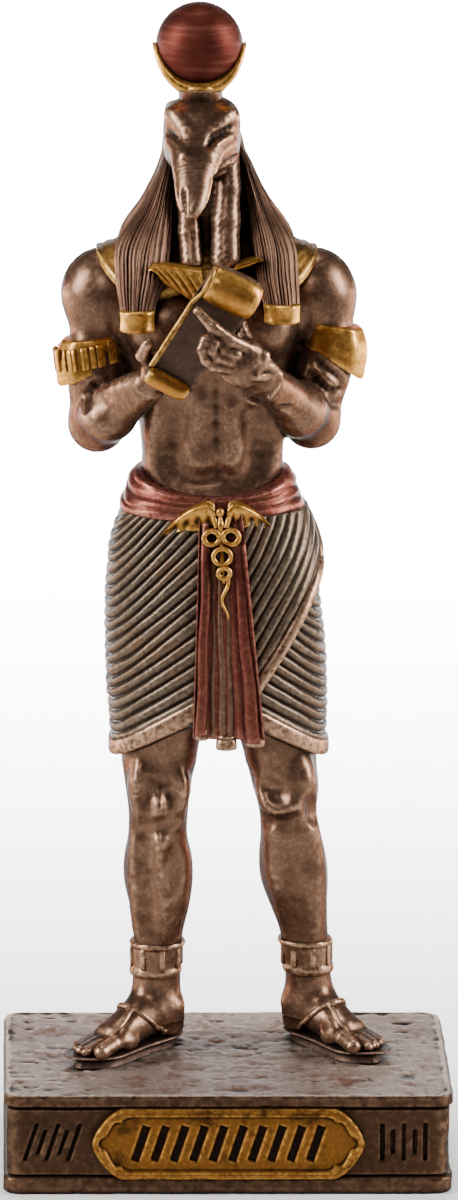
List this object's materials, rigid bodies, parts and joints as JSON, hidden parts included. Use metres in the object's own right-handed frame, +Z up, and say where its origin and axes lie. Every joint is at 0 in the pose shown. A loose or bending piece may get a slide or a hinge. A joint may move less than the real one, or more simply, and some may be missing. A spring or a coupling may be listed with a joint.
{
  "type": "ibis-headed deity figurine",
  "caption": "Standing ibis-headed figure in a pleated kilt, holding a scroll, with a disc and crescent on its head, on a low rectangular plinth.",
  "frame": {"origin": "centre of the plinth's underside", "axes": "+Z up, +X to the figure's left hand side, the figure faces -Y"},
  "size_m": [0.034, 0.0225, 0.0895],
  "materials": {
    "bronze_resin": "bronze paint rubbed bright over a near-black wash",
    "plinth_resin": "darker bronze paint over a near-black wash",
    "gold_paint": "antique gold metallic paint",
    "red_paint": "copper-red metallic paint"
  },
  "bodies": {
    "root": {"figure": "bronze_resin", "plinth": "plinth_resin"}
  },
  "joints": []
}
